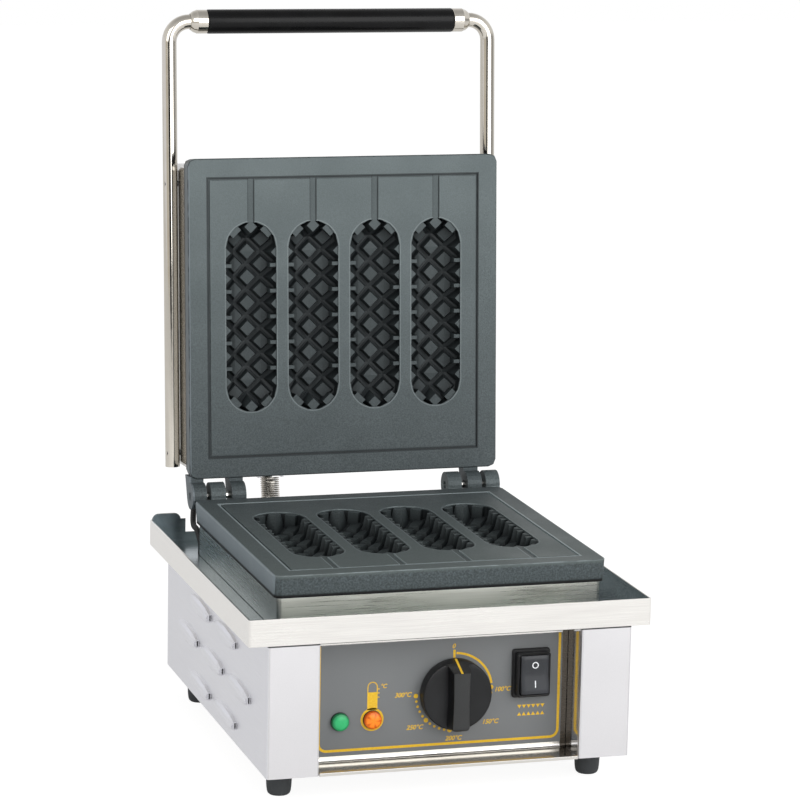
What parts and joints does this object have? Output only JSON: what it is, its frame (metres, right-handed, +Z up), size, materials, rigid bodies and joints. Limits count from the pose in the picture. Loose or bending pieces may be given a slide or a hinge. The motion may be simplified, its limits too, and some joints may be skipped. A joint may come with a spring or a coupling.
{
  "type": "waffle stick maker",
  "caption": "Countertop iron that bakes ridged waffle sticks between hinged cast plates, shown open, with a steel base, drip tray, dial, switch and bar handle.",
  "frame": {"origin": "on the worktop under the middle of the open machine's box", "axes": "+Z up, -Y towards the user and the control panel, +X to the user's right; the hinge line lies along +X"},
  "size_m": [0.305, 0.3754, 0.544],
  "materials": {
    "stainless_steel": "satin brushed",
    "cast_iron": "fine sand cast, seasoned",
    "bright_steel": "bright",
    "foot_rubber": "matt",
    "black_plastic": "satin moulded",
    "panel_grey": "matt printed film",
    "green_lens": "clear tinted",
    "orange_lens": "clear tinted",
    "element_steel": "dull",
    "mineral_board": "fibrous",
    "ceramic": "matt",
    "black_sleeve": "braided",
    "spring_steel": "bright drawn wire"
  },
  "bodies": {
    "base": {"balance_spring": "spring_steel", "base_pan": "stainless_steel", "base_spring_bracket": "stainless_steel", "cable_gland": "black_plastic", "control_fascia": "bright_steel", "control_overlay": "panel_grey", "foot_front_left": "foot_rubber", "foot_front_right": "foot_rubber", "foot_rear_left": "foot_rubber", "foot_rear_right": "foot_rubber", "foot_screw_front_left": "element_steel", "foot_screw_front_right": "element_steel", "foot_screw_rear_left": "element_steel", "foot_screw_rear_right": "element_steel", "green_lamp_body": "black_plastic", "green_lamp_lens": "green_lens", "hinge_pin_left": "bright_steel", "hinge_pin_right": "bright_steel", "left_side_panel": "stainless_steel", "lid_lead_sleeve": "black_sleeve", "lower_element": "element_steel", "lower_element_clamp": "element_steel", "lower_insulation": "mineral_board", "lower_plate": "cast_iron", "lower_standoff_front_left": "element_steel", "lower_standoff_front_right": "element_steel", "lower_standoff_rear_left": "element_steel", "lower_standoff_rear_right": "element_steel", "orange_lamp_body": "black_plastic", "orange_lamp_lens": "orange_lens", "plinth": "stainless_steel", "rear_panel": "stainless_steel", "right_side_panel": "stainless_steel", "switch_housing": "black_plastic", "terminal_block": "ceramic", "thermostat": "ceramic", "top_tray": "stainless_steel"},
    "lid": {"upper_plate": "cast_iron", "upper_element": "element_steel", "upper_element_clamp": "element_steel", "upper_insulation": "mineral_board", "lid_casing": "stainless_steel", "upper_standoff_rear_left": "element_steel", "upper_standoff_front_left": "element_steel", "upper_standoff_rear_right": "element_steel", "upper_standoff_front_right": "element_steel", "lid_spring_bracket": "stainless_steel", "handle_rod": "bright_steel", "handle_grip": "black_plastic", "grip_ferrule_left": "bright_steel", "grip_ferrule_right": "bright_steel", "handle_screw_rear_left": "element_steel", "handle_screw_front_left": "element_steel", "handle_screw_rear_right": "element_steel", "handle_screw_front_right": "element_steel"},
    "knob": {"thermostat_knob": "black_plastic", "thermostat_shaft": "bright_steel"},
    "rocker": {"switch_rocker": "black_plastic"}
  },
  "joints": [
    {"name": "lid_hinge", "type": "hinge", "parent": "base", "child": "lid", "pos_m": [0, 0.10648, 0.1662], "axis": [1, 0, 0], "range_deg": [0, 93.85], "deforming": ["balance_spring", "lid_lead_sleeve"]},
    {"name": "thermostat_dial", "type": "hinge", "parent": "base", "child": "knob", "pos_m": [0.0105, -0.15773, 0.071], "axis": [0, 1, 0], "range_deg": [0, 270]},
    {"name": "power_switch", "type": "hinge", "parent": "base", "child": "rocker", "pos_m": [0.0695, -0.15773, 0.0828], "axis": [1, 0, 0], "range_deg": [0, 8]}
  ]
}
